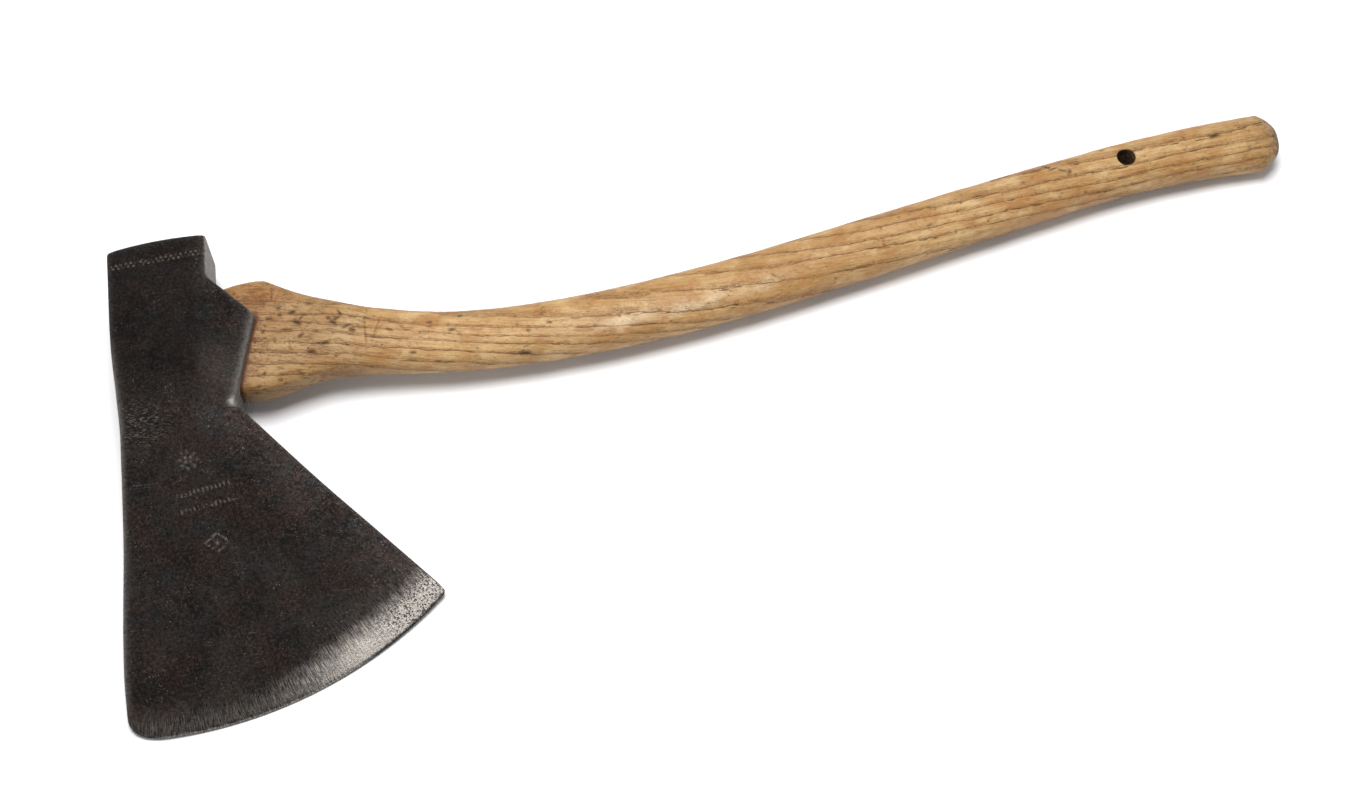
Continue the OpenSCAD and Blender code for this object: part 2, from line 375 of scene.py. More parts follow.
def stamp_marks():
    """Generic stamps on the blade: a rosette of dots, a plain band of ticks and a lozenge."""
    dots = []
    for count, ring, radius, start in ((8, 4.6, 0.9, 0), (4, 1.9, 0.8, 0.5)):
        for k in range(count):
            turn = 2 * math.pi * (k + start) / count
            dots.append((11.4 + ring * math.cos(turn), -74.4 + ring * math.sin(turn), radius))
    lean = np.array([math.cos(math.radians(11)), math.sin(math.radians(11))])
    upright = np.array([-lean[1], lean[0]])
    for row in (-4.5, 4.5):
        for reach in np.arange(-14.4, 14.5, 2.4):
            for step in (-0.7, 0, 0.7):
                dots.append((*(np.array([19, -95.9]) + reach * lean + (row + step) * upright), 0.5))
    for turn in np.arange(0, 4, 1 / 7):
        x = np.interp(turn, range(5), (6.4, 0, -6.4, 0, 6.4))
        y = np.interp(turn, range(5), (0, 5.2, 0, -5.2, 0))
        dots.append((23.5 + x, -121 + y, 0.6))
    dots.append((23.5, -121, 1.1))
    return dots


def punched(points, marks):
    """How much of a round punch mark each point is, 0 to 1."""
    amount = np.zeros(len(points))
    for x, y, radius in marks:
        near = np.abs(points[:, 0] - x) + np.abs(points[:, 1] - y) < 5 * radius
        gap2 = (points[near, 0] - x) ** 2 + (points[near, 1] - y) ** 2
        amount[near] = np.maximum(amount[near], np.exp(-gap2 / radius ** 2))
    return amount


STAMPS = stamp_marks()
WELD_MARKS = weld_marks()


def forged(points, seed):
    """Unevenness that the hammer left, always inwards."""
    broad = ripples(points, 38, seed)
    small = ripples(points, 11, seed + 1)
    return -BROAD_BLOWS * (1 + np.tanh(broad)) - SMALL_BLOWS * (1 + np.tanh(small))


def upper_face(points, half):
    """Height of the upper face of the head, over a plain half-thickness."""
    thin = np.minimum(1, half / 6)
    marks = STAMP_DEPTH * (punched(points, STAMPS) + punched(points, WELD_MARKS))
    return half + thin * (forged(points, 3) - marks)


def lower_face(points, half):
    """Height of the lower face of the head."""
    thin = np.minimum(1, half / 6)
    return -half - thin * forged(points, 8)


# Loops of the three forged pieces --------


def cut_loop(loop, value):
    """Splits a loop where value changes sign, into its positive and its negative run."""
    ahead = np.roll(value, -1)
    rising = int(np.nonzero((value < 0) & (ahead >= 0))[0][0])
    falling = int(np.nonzero((value >= 0) & (ahead < 0))[0][0])

    def crossing(i):
        j = (i + 1) % len(loop)
        t = value[i] / (value[i] - value[j])
        return loop[i] * (1 - t) + loop[j] * t

    def run(first, last):
        count = (last - first) % len(loop)
        return [loop[(first + 1 + k) % len(loop)] for k in range(count)]

    enter, leave = crossing(rising), crossing(falling)
    positive = [enter] + run(rising, falling) + [leave]
    negative = [leave] + run(falling, rising) + [enter]
    return np.array(positive), np.array(negative)


def weld_seam(start, end):
    """Points between two ends of the weld line, without the ends."""
    t = np.linspace(0, 1, 48)[1:-1, None]
    return start * (1 - t) + end * t


def bit_seam(start, end):
    """Points between two ends of the arc where the bevel starts, without the ends."""
    a = math.atan2(start[1], start[0] - EDGE_X)
    b = math.atan2(end[1], end[0] - EDGE_X)
    turn = np.linspace(a, b, 130)[1:-1]
    return np.column_stack([EDGE_X + BEVEL_R * np.cos(turn), BEVEL_R * np.sin(turn)])


def head_loops():
    """Loops of the body, the bit and the poll facing."""
    poll, rest = cut_loop(OUTLINE, OUTLINE[:, 1] - weld_y(OUTLINE[:, 0]))
    poll_loop = np.vstack([poll, weld_seam(poll[-1], poll[0])])
    rest_loop = np.vstack([rest, weld_seam(rest[-1], rest[0])])
    bit, body = cut_loop(rest_loop, edge_radius(rest_loop) - BEVEL_R)
    bit_loop = np.vstack([bit, bit_seam(bit[-1], bit[0])])
    body_loop = np.vstack([body, bit_seam(body[-1], body[0])])
    return body_loop, bit_loop, poll_loop


def honeycomb(low, high, step):
    """Points of a triangular grid between two corners."""
    rows = []
    for k, y in enumerate(np.arange(low[1], high[1], step * math.sqrt(3) / 2)):
        x = np.arange(low[0], high[0], step) + (k % 2) * step / 2
        rows.append(np.column_stack([x, np.full(len(x), y)]))
    return np.vstack(rows)


def rim_rows():
    """Points just inside the outline that carry the rounding of the rim."""
    along = np.roll(OUTLINE, -1, axis=0) - np.roll(OUTLINE, 1, axis=0)
    inward = np.column_stack([along[:, 1], -along[:, 0]])
    inward /= np.linalg.norm(inward, axis=1)[:, None]
    radius = np.minimum(RIMS, 0.6 * plain_half(OUTLINE))
    rows = []
    for turn in (25, 45, 65, 85, 105):
        reach = radius * (1 - math.cos(math.radians(turn)))
        row = OUTLINE + inward * reach[:, None]
        distance, _ = to_outline(row)
        rows.append(row[distance > 0.9 * reach])
    return np.vstack(rows)


def face_points(step, fine_step):
    """Points inside the outline: an even grid, closer round the stamps and the weld marks."""
    low, high = OUTLINE.min(axis=0), OUTLINE.max(axis=0)
    grid = honeycomb(low, high, step)
    fine_boxes = [((-9, -134), (42, -64)), ((-30, 44), (30, 59))]
    for box_low, box_high in fine_boxes:
        within = np.all((grid > box_low) & (grid < box_high), axis=1)
        grid = np.vstack([grid[~within], honeycomb(box_low, box_high, fine_step)])
    grid = grid[inside(grid, OUTLINE)]
    distance, rim = to_outline(grid)
    grid = grid[distance > 1.3 * np.minimum(rim, 0.6 * plain_half(grid)) + 0.25]
    return np.vstack([grid, rim_rows()])


# Meshes --------


def new_piece(name, vertices, faces):
    """A mesh object in the scene."""
    mesh = bpy.data.meshes.new(name)
    mesh.from_pydata([tuple(v) for v in vertices], [], faces)
    mesh.validate()
    mesh.update()
    piece = bpy.data.objects.new(name, mesh)
    bpy.context.scene.collection.objects.link(piece)
    return piece


def corners(piece):
    """Every vertex of a piece as an array."""
    flat = np.empty(len(piece.data.vertices) * 3)
    piece.data.vertices.foreach_get("co", flat)
    return flat.reshape(-1, 3)


def slab(name, loop, grid, rows):
    """A forged slab: an upper and a lower face over a loop, and a wall of rows between them."""
    grid = grid[inside(grid, loop)]
    gap = np.linalg.norm(grid - loop[nearest_corner(grid, loop)], axis=1)
    grid = grid[gap > 0.12]
    n = len(loop)
    ring = [(k, (k + 1) % n) for k in range(n)]
    flat = [Vector(p) for p in np.vstack([loop, grid]).tolist()]
    made, _, triangles, origin, _, _ = delaunay_2d_cdt(flat, ring, [], 1, 1e-6)
    plan = np.array([tuple(v) for v in made])
    order = {old: new for new, sources in enumerate(origin) for old in sources}
    count = len(plan)
    half = rounded_half(plan)
    upper = np.column_stack([plan, upper_face(plan, half)])
    lower = np.column_stack([plan, lower_face(plan, half)])
    vertices = [upper, lower]
    faces = [tuple(t) for t in triangles]
    faces += [(a + count, c + count, b + count) for a, b, c in triangles]
    rim = [order[k] for k in range(n)]
    layers = [rim]
    for row in range(1, rows):
        t = row / rows
        vertices.append(upper[rim] * (1 - t) + lower[rim] * t)
        layers.append([2 * count + (row - 1) * n + k for k in range(n)])
    layers.append([k + count for k in rim])
    for above, below in zip(layers, layers[1:]):
        for a, b in ring:
            faces.append((above[b], below[b], below[a], above[a]))
    return new_piece(name, np.vstack(vertices), faces)


def oval(up, low, thickness, square, sides):
    """Evenly spaced points round an oval section; square = 2 is an ellipse."""
    a = np.linspace(0, 2 * math.pi, 1441)
    y = (up + low) / 2 + (up - low) / 2 * np.sign(np.cos(a)) * np.abs(np.cos(a)) ** (2 / square)
    z = thickness / 2 * np.sign(np.sin(a)) * np.abs(np.sin(a)) ** (2 / square)
    along = np.concatenate([[0], np.cumsum(np.hypot(np.diff(y), np.diff(z)))])
    at = np.linspace(0, along[-1], sides, endpoint=False)
    return np.column_stack([np.interp(at, along, y), np.interp(at, along, z)])


def skinned(name, rings):
    """A closed solid through rings of points, all of the same number."""
    sides = len(rings[0])
    faces = [tuple(range(sides))]
    for i in range(len(rings) - 1):
        for k in range(sides):
            a = i * sides + k
            b = i * sides + (k + 1) % sides
            faces.append((a, a + sides, b + sides, b))
    last = (len(rings) - 1) * sides
    faces.append(tuple(range(last + sides - 1, last - 1, -1)))
    return new_piece(name, np.vstack(rings), faces)


def swept(name, sections):
    """A closed solid along X, through sections given as (x, points)."""
    return skinned(name, [np.column_stack([np.full(len(points), x), points]) for x, points in sections])


def carve(piece, cutter):
    """Takes one solid away from another and removes the cutter."""
    cut = piece.modifiers.new("cut", "BOOLEAN")
    cut.operation = "DIFFERENCE"
    cut.object = cutter
    cut.solver = "MANIFOLD"
    graph = bpy.context.evaluated_depsgraph_get()
    mesh = bpy.data.meshes.new_from_object(piece.evaluated_get(graph))
    old = piece.data
    piece.modifiers.clear()
    piece.data = mesh
    mesh.name = piece.name
    bpy.data.meshes.remove(old)
    bpy.data.objects.remove(cutter)


# Haft --------


def section(x):
    """Edges, thickness and squareness of the haft at x."""
    if x < GRIP[0][0]:
        return [straight(TONGUE, x, c) for c in (1, 2, 3, 4)]
    return [smooth(GRIP, x, c) for c in (1, 2, 3, 4)]


def haft_section(x, size=1):
    """The place and the outline of one section, shrunk about its middle."""
    up, low, thickness, square = section(x)
    middle = (up + low) / 2
    half = (up - low) / 2 * size
    return x, oval(middle + half, middle - half, thickness * size, square, HAFT_SIDES)


def haft_sections():
    """Sections of the haft, closer together where the tool marks are."""
    butt_x = HAFT_X - BUTT_ROUND
    stations = np.concatenate([np.arange(TONGUE[0][0] + 0.8, 38, 2.4), np.arange(38, 130, 0.6),
                               np.arange(130, butt_x - 1, 1.5)])
    sections = [haft_section(TONGUE[0][0], 0.975)]
    sections += [haft_section(x) for x in stations]
    for turn in np.radians(np.linspace(0, 90, 19)):
        x = butt_x + BUTT_ROUND * math.sin(turn)
        chamfer = 1 - (x - butt_x) / BUTT_ROUND
        size = BUTT_FLAT + (1 - BUTT_FLAT) * (0.45 * math.cos(turn) + 0.55 * chamfer)
        sections.append(haft_section(x, size))
    return sections


def scattered_dents():
    """Small dents of handling all over the haft, with the side they are on and their weight."""
    random = np.random.default_rng(21)
    dents = []
    for _ in range(SMALL_DENTS):
        x = random.uniform(45, 670)
        up, low, _, _ = section(x)
        y = random.uniform(low + 2, up - 2)
        length = 0.6 + 1.6 * random.uniform() ** 2
        dents.append((x, y, length, random.uniform(0.4, 0.8), random.uniform(-60, 60),
                      1 if random.uniform() < 0.6 else -1, random.uniform(0.3, 0.9)))
    return dents


ALL_DENTS = [(*dent, 1, 1.0) for dent in DENTS]
ALL_DENTS += [(*cut, 1, CUT_WEIGHT) for cut in CUTS]
ALL_DENTS += scattered_dents()


def dented(flat):
    """How much of a dent or a cut each vertex of the haft is, 0 to 1."""
    amount = np.zeros(len(flat))
    for x, y, length, width, lean, side, weight in ALL_DENTS:
        near = (np.abs(flat[:, 0] - x) < 2 * length + 2) & (flat[:, 2] * side > 0)
        away = flat[near, :2] - (x, y)
        c, s = math.cos(math.radians(lean)), math.sin(math.radians(lean))
        along = (away[:, 0] * c + away[:, 1] * s) / length
        aside = (away[:, 1] * c - away[:, 0] * s) / width
        amount[near] = np.maximum(amount[near], weight * np.exp(-along ** 4 - aside ** 2))
    return amount


def weather(haft):
    """Makes the haft uneven as a shaved and used one is, always inwards, with its dents."""
    flat = corners(haft)
    middle = np.array([sum(section(x)[:2]) / 2 for x in flat[::HAFT_SIDES, 0]])
    middle = np.repeat(middle, HAFT_SIDES)[:len(flat)]
    inward = -np.column_stack([np.zeros(len(flat)), flat[:, 1] - middle, flat[:, 2]])
    inward /= np.linalg.norm(inward, axis=1)[:, None] + 1e-9
    uneven = BROAD_SHAVING * (1 + np.tanh(ripples(flat, 26, 5)))
    uneven += SMALL_SHAVING * (1 + np.tanh(ripples(flat, 7, 6)))
    depth = (uneven + DENT_DEPTH * dented(flat)) * fade(flat[:, 0], 44, 50)
    flat += inward * depth[:, None]
    haft.data.vertices.foreach_set("co", flat.ravel())
    haft.data.update()


def hang_middle():
    up, low, _, _ = section(HANG_X)
    return (up + low) / 2 + HANG_OFFSET


def hang_hole_cutter():
    """Cutter of the hanging hole, flared a little at each mouth."""
    flare = [(20, 2.4), (14.2, 0.7), (13.4, 0.3), (12.2, 0.05)]
    steps = [(-z, more) for z, more in flare] + [(0, 0)] + flare[::-1]
    turn = np.linspace(0, 2 * math.pi, 56, endpoint=False)
    rings = []
    for z, more in steps:
        radius = HANG_D / 2 + more
        rings.append(np.column_stack([HANG_X + radius * np.cos(turn), hang_middle() + radius * np.sin(turn),
                                      np.full(len(turn), z)]))
    return skinned("hang_hole_cutter", rings)


def wedge_solid(name, length, head, point, width, crosswise, out):
    """A tapered wedge that stands out of the tongue's end. A crosswise wedge tapers along Y."""
    across = np.linspace(-width / 2, width / 2, 9)
    wide = np.concatenate([across, across[::-1]])
    start = TONGUE[0][0] - out
    sections = []
    for t in np.linspace(0, 1, 11):
        half = (head + (point - head) * t) / 2
        thick = np.repeat([half, -half], len(across))
        sides = (thick, wide) if crosswise else (wide, thick)
        sections.append((start + (length + out) * t, np.column_stack(sides)))
    return swept(name, sections)


def cross_kerf():
    """Cutter of the slot for the iron wedge, through the tongue and the wooden wedge."""
    return wedge_solid("cross_kerf", IRON_WEDGE_L, IRON_WEDGE_T + WEDGE_GAP, IRON_POINT_T,
                       IRON_WEDGE_W + 2 * WEDGE_GAP, True, 2)


def outward(piece):
    """Turns every face of a closed piece outwards."""
    bpy.context.view_layer.objects.active = piece
    piece.select_set(True)
    bpy.ops.object.mode_set(mode="EDIT")
    bpy.ops.mesh.select_all(action="SELECT")
    bpy.ops.mesh.normals_make_consistent(inside=False)
    bpy.ops.object.mode_set(mode="OBJECT")
    piece.select_set(False)


# Rest pose --------


def rest_pose():
    """Rotation and offset that lay the flat axe down, read from the hanging hole's mount."""
    mount = next(m for m in frame["record"]["mounts"] if m["name"] == "hang_hole")
    axis = np.array(mount["axis"])
    droop = math.asin(axis[0])
    tip = math.atan2(-axis[1], axis[2])
    turn = np.array(Matrix.Rotation(tip, 3, "X") @ Matrix.Rotation(droop, 3, "Y"))
    hole = np.array([HANG_X, hang_middle(), 0.0])
    return turn, np.array(mount["pos_m"]) - turn @ hole * 0.001


TURN, OFFSET = rest_pose()


def store(piece, name, values):
    """Keeps one value or one vector for each vertex, for the materials."""
    kind = "FLOAT" if values.ndim == 1 else "FLOAT_VECTOR"
    data = piece.data.attributes.new(name, kind, "POINT").data
    data.foreach_set("value" if values.ndim == 1 else "vector", values.astype(np.float32).ravel())


def to_rest(piece, smooth_angle):
    """Keeps the flat place of each vertex, then lays the piece down, in metres."""
    flat = corners(piece)
    store(piece, "flat_mm", flat)
    laid = flat @ TURN.T * 0.001 + OFFSET
    piece.data.vertices.foreach_set("co", laid.ravel())
    piece.data.update()
    piece.data.shade_smooth()
    piece.data.set_sharp_from_angle(angle=math.radians(smooth_angle))


# Materials --------


def srgb(red, green, blue):
    """A colour given as it looks in this light, 0 to 255, in the shader's own linear numbers."""
    linear = []
    for value in (red, green, blue):
        v = value / 255
        linear.append((v / 12.92 if v < 0.04045 else ((v + 0.055) / 1.055) ** 2.4) / LIGHT_GAIN)
    return (*linear, 1.0)


class Shader:
    """Short calls for the shader nodes that the materials are made of."""

    def __init__(self, name):
        self.material = bpy.data.materials.new(name)
        self.material.use_nodes = True
        self.nodes = self.material.node_tree.nodes
        self.links = self.material.node_tree.links
        self.surface = self.nodes["Principled BSDF"]

    def feed(self, socket, value):
        if isinstance(value, bpy.types.NodeSocket):
            self.links.new(value, socket)
        elif value is not None:
            socket.default_value = value

    def node(self, kind, inputs, output=0, **settings):
        """A new node with its settings and inputs, as one of its outputs."""
        node = self.nodes.new("ShaderNode" + kind)
        for name, value in settings.items():
            setattr(node, name, value)
        for socket, value in inputs.items():
            self.feed(node.inputs[socket], value)
        return node.outputs[output]

    def attribute(self, name, output="Fac"):
        return self.node("Attribute", {}, output, attribute_name=name)

    def math(self, operation, a, b=None, clamp=False):
        return self.node("Math", {0: a, 1: b}, operation=operation, use_clamp=clamp)

    def times(self, a, b, clamp=False):
        return self.math("MULTIPLY", a, b, clamp)

    def plus(self, a, b):
        return self.math("ADD", a, b)

    def span(self, value, low, high, to_low=0.0, to_high=1.0):
        """Smooth change from to_low to to_high as value goes from low to high."""
        inputs = dict(enumerate((value, low, high, to_low, to_high)))
        return self.node("MapRange", inputs, interpolation_type="SMOOTHSTEP")

    def mix(self, factor, a, b, blend="MIX"):
        """Colour a where factor is 0 and colour b where it is 1."""
        inputs = {"Factor": factor, 6: a, 7: b}
        return self.node("Mix", inputs, 2, data_type="RGBA", blend_type=blend)

    def layers(self, colour, *rows):
        """Tones over a colour, each as the value that brings it in, its low, high and most, and itself."""
        for value, low, high, most, tone in rows:
            colour = self.mix(self.span(value, low, high, 0.0, most), colour, srgb(*tone))
        return colour

    def stretch(self, vector, scale, rotation=(0, 0, 0)):
        turn = [math.radians(a) for a in rotation]
        return self.node("Mapping", {"Vector": vector, "Scale": scale, "Rotation": turn})

    def noise(self, vector, size, detail=2.0, rough=0.5):
        """Noise with features of about the given size, in the vector's own units."""
        inputs = {"Vector": vector, "Scale": 1 / size, "Detail": detail, "Roughness": rough}
        return self.node("TexNoise", inputs)

    def bump(self, height, distance, strength=1.0, after=None):
        inputs = {"Distance": distance, "Strength": strength, "Height": height, "Normal": after}
        return self.node("Bump", inputs)

    def finish(self, colour, roughness, metallic, normal, specular=0.5):
        inputs = {"Base Color": colour, "Roughness": roughness, "Metallic": metallic,
                  "Normal": normal, "Specular IOR Level": specular}
        for socket, value in inputs.items():
            self.feed(self.surface.inputs[socket], value)
        return self.material


def forged_skin(s, place, patch, mottle, grit, warmth):
    """Dark skin of the forging: broad and cool patches, mottling, rust freckles and bare specks."""
    broad = s.noise(place, 26, 3, 0.6)
    cool = s.noise(s.stretch(place, (1, 1, 1), (0, 0, 70)), 17, 3, 0.6)
    dark = s.mix(s.span(broad, 0.38, 0.62), srgb(19, 15, 14), srgb(43, 38, 36))
    dark = s.layers(dark, (cool, 0.50, 0.62, 0.55, (33, 35, 36)), (patch, 0.42, 0.66, 0.4, (51, 45, 41)),
                    (mottle, 0.50, 0.66, 0.5, (68, 61, 56)), (mottle, 0.47, 0.36, 0.8, (8, 6, 6)),
                    (grit, 0.48, 0.34, 0.75, (8, 6, 6)))
    rust_area = s.span(s.noise(place, 18, 4, 0.7), 0.44, 0.60)
    rusty = s.mix(s.span(mottle, 0.44, 0.64), srgb(31, 21, 18), srgb(68, 48, 40))
    rust = s.times(rust_area, s.span(grit, 0.36, 0.60, 0.2, warmth))
    skin = s.mix(s.times(rust, 0.75), dark, rusty)
    speck_area = s.span(s.noise(place, 14, 2), 0.44, 0.60, 0.15, 1.0)
    specks = s.times(s.span(s.noise(place, 1.0, 1, 0.5), 0.66, 0.73), speck_area)
    return s.mix(s.times(specks, 0.75), skin, srgb(112, 101, 92))


def scratched_skin(s, place, patch, skin):
    """Scuffs at the waist and long thin scratches in two directions."""
    scuffs = s.noise(s.stretch(place, (0.35, 1.5, 0.4), (0, 0, 8)), 1.0, 3, 0.6)
    scuffed = s.times(s.span(scuffs, 0.54, 0.64), s.attribute("scuff"))
    skin = s.mix(scuffed, skin, srgb(112, 106, 98))
    for turn, length in ((12, 0.05), (70, 0.03)):
        lines = s.noise(s.stretch(place, (length, 1.5, 0.4), (0, 0, turn)), 1.0, 2, 0.4)
        scratch = s.times(s.span(lines, 0.69, 0.75), s.span(patch, 0.46, 0.62, 0.0, 0.5))
        skin = s.mix(scratch, skin, srgb(104, 98, 92))
    return skin


def shaded_worn_skin(s, mottle, skin):
    """The skin with painted broad light and shade, bare metal and painted highlight at the rims, and pale
    in the stamped marks.
    """
    # painted light and shade: a broad gain on the skin's colour
    skin = s.mix(1.0, skin, s.attribute("shade"), "MULTIPLY")
    # bare metal at the rims, partly a painted highlight where they catch the light
    worn_and_highlight = s.times(s.attribute("wear_and_glint"), s.span(mottle, 0.36, 0.52, 0.5, 1.0), clamp=True)
    skin = s.mix(worn_and_highlight, skin, srgb(168, 163, 158))
    marked = s.times(s.attribute("mark"), s.span(mottle, 0.42, 0.56, 0.1, 1.0), clamp=True)
    return s.mix(marked, skin, srgb(138, 127, 118))


def head_metal(name, warmth):
    """Dark forged skin that gives way to bright scratched steel towards the edge, with a painted reflection
    on the steel.
    """
    s = Shader(name)
    place = s.attribute("flat_mm", "Vector")
    # polish of the ground steel together with its painted reflection and sheen
    polish_and_sheen = s.attribute("polish_and_sheen")
    patch = s.noise(place, 6, 4, 0.65)
    mottle = s.noise(place, 1.6, 4, 0.7)
    grit = s.noise(place, 0.75, 3, 0.65)
    skin = forged_skin(s, place, patch, mottle, grit, warmth)
    skin = shaded_worn_skin(s, mottle, scratched_skin(s, place, patch, skin))
    scratches = s.noise(s.stretch(s.attribute("radial", "Vector"), (0.17, 1.7, 1.0)), 1.0, 4, 0.75)
    pits = s.times(s.span(s.noise(place, 1.1, 2, 0.5), 0.55, 0.60), s.attribute("pitted"))
    streaky = s.plus(polish_and_sheen, s.span(scratches, 0.32, 0.68, -0.26, 0.26))
    bright = s.times(streaky, s.span(polish_and_sheen, 0.02, 0.22))
    bright = s.times(bright, s.span(grit, 0.35, 0.65, 0.88, 1.08))
    bright = s.times(bright, s.span(pits, 0.0, 1.0, 1.0, 0.22), clamp=True)
    colour = s.mix(bright, skin, srgb(140, 135, 129))
    metallic = s.span(bright, 0.0, 0.6, 0.0, 1.0)
    rough = s.span(bright, 0.0, 0.8, 0.60, 0.42)
    height = s.plus(s.times(grit, 0.6), s.times(mottle, 1.4))
    height = s.plus(height, s.times(pits, -0.6))
    normal = s.bump(scratches, 0.0001, 0.5, s.bump(height, 0.00025, 0.8))
    return s.finish(colour, rough, metallic, normal, 0.05)


def ash_rings(s, grain):
    """The early wood of each ring, and the broken dark line where it starts."""
    wander = s.noise(s.stretch(grain, (0.02, 0.15, 0.1)), 1.0, 3)
    ripple = s.noise(s.stretch(grain, (0.1, 0.6, 0.4)), 1.0, 3)
    ring = s.plus(s.attribute("ring"), s.span(wander, 0.25, 0.75, -0.14, 0.14))
    ring = s.plus(ring, s.span(ripple, 0.25, 0.75, -0.09, 0.09))
    phase = s.math("FRACT", ring)
    broken = s.noise(s.stretch(grain, (0.06, 0.35, 0.35)), 1.0, 3, 0.6)
    early = s.times(s.span(phase, 0.0, 0.05), s.span(phase, 0.5, 0.08), clamp=True)
    line = s.times(s.span(phase, 0.0, 0.025), s.span(phase, 0.12, 0.04), clamp=True)
    line = s.times(line, s.attribute("lined"))
    return early, s.times(line, s.span(broken, 0.40, 0.54, 0.3, 1.0))


def ash_tones(s, early, streaks, tone, blotch):
    """Pale wood with its streaks, blotches, grey and orange parts, and a painted highlight along a ridge.
    """
    pale = s.mix(s.span(tone, 0.35, 0.65), srgb(192, 150, 97), srgb(212, 174, 120))
    pale = s.layers(pale, (streaks, 0.38, 0.66, 0.6, (168, 122, 68)),
                    (blotch, 0.48, 0.66, 0.6, (172, 114, 56)), (blotch, 0.47, 0.33, 0.5, (226, 194, 144)))
    pale = s.mix(s.times(early, 0.4), pale, srgb(150, 102, 54))
    # grime, with a little painted shade towards the lower side
    pale = s.mix(s.span(s.attribute("grime_and_shade"), 0.35, 0.9, 0.0, 0.5), pale, srgb(138, 100, 58))
    pale = s.mix(s.times(s.attribute("tint"), 0.75), pale, srgb(176, 112, 50))
    # painted highlight: a pale band along a ridge of the haft, partly wear
    worn_and_highlight = s.times(s.attribute("worn_and_highlight"), s.span(blotch, 0.62, 0.40, 0.15, 0.6))
    return s.mix(worn_and_highlight, pale, srgb(236, 212, 176))


def ash_pores(s, place, grain, early):
    """Short pores everywhere, long ones in the early wood, and a hatched patch on the shoulder."""
    short_pores = s.noise(s.stretch(grain, (0.42, 2.4, 2.4)), 1.0, 2, 0.5)
    long_pores = s.noise(s.stretch(grain, (0.12, 1.7, 1.7)), 1.0, 2, 0.5)
    hatch = s.noise(s.stretch(place, (0.22, 1.0, 0.2)), 1.0, 1)
    pore = s.times(s.span(short_pores, 0.56, 0.66), s.plus(s.times(early, 0.75), 0.3))
    pore = s.math("MAXIMUM", pore, s.times(s.span(long_pores, 0.58, 0.68), early))
    hatched = s.times(s.span(hatch, 0.48, 0.55), s.span(s.attribute("tint"), 0.2, 0.7))
    return s.math("MAXIMUM", pore, hatched)


def ash_dirt_and_shade(s, place, grain, colour):
    """The colour with its smears, and how much of a dirty spot, a soiled dent, the darker hole or the
    painted shadow at the lug each place is.
    """
    grime_and_shade = s.attribute("grime_and_shade")
    smear = s.noise(s.stretch(grain, (0.14, 0.4, 0.4)), 1.0, 5, 0.75)
    dirty = s.times(s.span(smear, 0.49, 0.64), grime_and_shade, clamp=True)
    colour = s.mix(s.times(dirty, 0.85), colour, srgb(112, 80, 46))
    spot_area = s.span(s.noise(place, 14, 2), 0.60, 0.42, 0.15, 1.0)
    spots = s.span(s.noise(s.stretch(place, (0.6, 1, 1)), 1.5, 3, 0.6), 0.62, 0.70)
    spots = s.times(s.times(spots, spot_area), s.span(grime_and_shade, 0.2, 0.9, 0.5, 1.0))
    # dirt in the dents, the darker hole and the painted shadow at the lug joint
    groove_dirt_and_shade = s.times(s.attribute("groove_dirt_and_shade"), s.span(smear, 0.38, 0.5, 0.6, 1.0))
    dirt_and_shade = s.math("MAXIMUM", spots, groove_dirt_and_shade)
    return s.mix(s.times(dirt_and_shade, 0.95, clamp=True), colour, srgb(54, 32, 16)), dirt_and_shade


def ash_stains(s, place, blotch, colour):
    """Brown stain beside the lug and at the butt, and the dark end of the butt."""
    stain = s.attribute("stain")
    ragged = s.plus(stain, s.span(s.noise(place, 4, 4, 0.7), 0.3, 0.7, -0.25, 0.25))
    stained = s.times(s.span(ragged, 0.15, 0.9), s.span(stain, 0.0, 0.12), clamp=True)
    colour = s.mix(s.times(stained, 0.85), colour, srgb(98, 54, 28))
    end_face = s.times(s.attribute("end_face"), s.span(blotch, 0.6, 0.4, 0.6, 1.0))
    return s.mix(s.times(end_face, 0.85), colour, srgb(74, 66, 34))


def ash_wood(name):
    """Ash: pale late wood, broken dark lines of pores in the early wood, soiling, stains and dents, with
    painted shade and a painted highlight.
    """
    s = Shader(name)
    place = s.attribute("flat_mm", "Vector")
    grain = s.attribute("grain", "Vector")
    streaks = s.noise(s.stretch(grain, (0.018, 0.9, 0.9)), 1.0, 4, 0.65)
    tone = s.noise(place, 55, 2)
    blotch = s.noise(s.stretch(place, (0.6, 1, 1)), 11, 4, 0.65)
    early, line = ash_rings(s, grain)
    pale = ash_tones(s, early, streaks, tone, blotch)
    dark = s.math("MAXIMUM", s.times(ash_pores(s, place, grain, early), 0.72), line)
    colour = s.mix(s.times(dark, 0.85, clamp=True), pale, srgb(92, 60, 32))
    colour, dirt_and_shade = ash_dirt_and_shade(s, place, grain, colour)
    colour = ash_stains(s, place, blotch, colour)
    rough = s.span(tone, 0.3, 0.7, 0.42, 0.52)
    height = s.math("SUBTRACT", s.times(blotch, 1.5), s.times(dark, 0.9))
    height = s.math("SUBTRACT", height, s.times(dirt_and_shade, 1.2))
    height = s.plus(height, s.times(streaks, 0.8))
    return s.finish(colour, rough, 0.0, s.bump(height, 0.0003, 0.8), 0.25)


